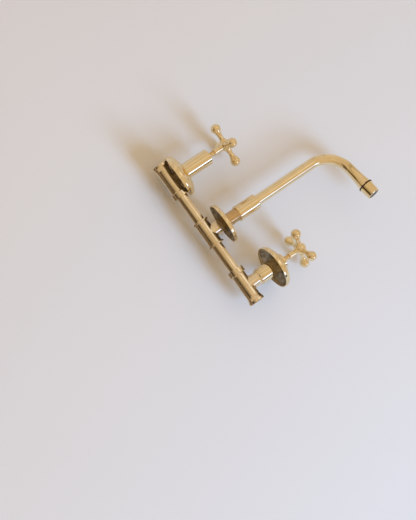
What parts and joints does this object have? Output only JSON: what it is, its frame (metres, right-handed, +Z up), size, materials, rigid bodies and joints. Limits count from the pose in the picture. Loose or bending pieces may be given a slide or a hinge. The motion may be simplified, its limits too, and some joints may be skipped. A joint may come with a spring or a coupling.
{
  "type": "wall-mounted bathroom faucet",
  "caption": "Wall-mounted widespread faucet: a brass body of tees for inside the wall, cross-handle valves with sleeves, a long bent swivel spout and sliding bell flanges.",
  "frame": {"origin": "centre of the centre tee, where the axis of the in-wall body meets the axis of the spout's branch", "axes": "+X along the body towards the cold valve, +Y into the wall, +Z up; -Y points out of the wall, towards the user"},
  "size_m": [0.2766, 0.2859, 0.0763],
  "materials": {
    "satin_brass": "satin, as cast and tumbled",
    "brown_brass": "satin, darker",
    "polished_brass": "mirror polished",
    "flange_brass": "polished in front, raw grey-brown behind",
    "machined_brass": "machined",
    "ceramic": "lapped",
    "rubber": "matte",
    "spring_steel": "bright",
    "grey_plastic": "matte"
  },
  "bodies": {
    "wall_body": {"centre_tee": "satin_brass", "cold_run_tube": "satin_brass", "hot_run_tube": "satin_brass", "cold_valve_tee": "satin_brass", "hot_valve_tee": "satin_brass", "spout_nipple": "brown_brass", "union_sleeve": "polished_brass", "thrust_washer": "grey_plastic", "hot_seat_seal": "rubber", "hot_fixed_disc": "ceramic", "hot_cartridge_body": "machined_brass", "hot_body_gasket": "rubber", "hot_steady_ring": "rubber", "hot_shroud": "polished_brass", "cold_seat_seal": "rubber", "cold_fixed_disc": "ceramic", "cold_cartridge_body": "machined_brass", "cold_body_gasket": "rubber", "cold_steady_ring": "rubber", "cold_shroud": "polished_brass"},
    "spout": {"spout_tail": "machined_brass", "tail_seals": "rubber", "spout_tube": "polished_brass", "outlet_ring": "rubber", "outlet_housing": "polished_brass", "aerator_insert": "grey_plastic"},
    "hot_handle": {"hot_moving_disc": "ceramic", "hot_spindle": "machined_brass", "hot_spindle_seal": "rubber", "hot_spindle_clip": "spring_steel", "hot_cross_handle": "polished_brass", "hot_handle_screw": "machined_brass", "hot_index_cap": "polished_brass"},
    "cold_handle": {"cold_moving_disc": "ceramic", "cold_spindle": "machined_brass", "cold_spindle_seal": "rubber", "cold_spindle_clip": "spring_steel", "cold_cross_handle": "polished_brass", "cold_handle_screw": "machined_brass", "cold_index_cap": "polished_brass"},
    "hot_flange": {"hot_flange": "flange_brass"},
    "cold_flange": {"cold_flange": "flange_brass"},
    "spout_flange": {"spout_flange": "flange_brass"}
  },
  "joints": [
    {"name": "spout_swivel", "type": "hinge", "parent": "wall_body", "child": "spout", "pos_m": [0, -0.085, 0], "axis": [0, -1, 0], "range_deg": [0, 200]},
    {"name": "hot_handle_turn", "type": "hinge", "parent": "wall_body", "child": "hot_handle", "pos_m": [-0.1016, -0.06, 0], "axis": [0, -1, 0], "range_deg": [-45, 45]},
    {"name": "cold_handle_turn", "type": "hinge", "parent": "wall_body", "child": "cold_handle", "pos_m": [0.1016, -0.06, 0], "axis": [0, 1, 0], "range_deg": [-78, 12]},
    {"name": "hot_flange_slide", "type": "slide", "parent": "wall_body", "child": "hot_flange", "axis": [0, -1, 0], "range_m": [-0.044, 0.0045]},
    {"name": "cold_flange_slide", "type": "slide", "parent": "wall_body", "child": "cold_flange", "axis": [0, -1, 0], "range_m": [-0.0005, 0.038]},
    {"name": "spout_flange_slide", "type": "slide", "parent": "wall_body", "child": "spout_flange", "axis": [0, -1, 0], "range_m": [-0.0115, 0.0155]}
  ]
}
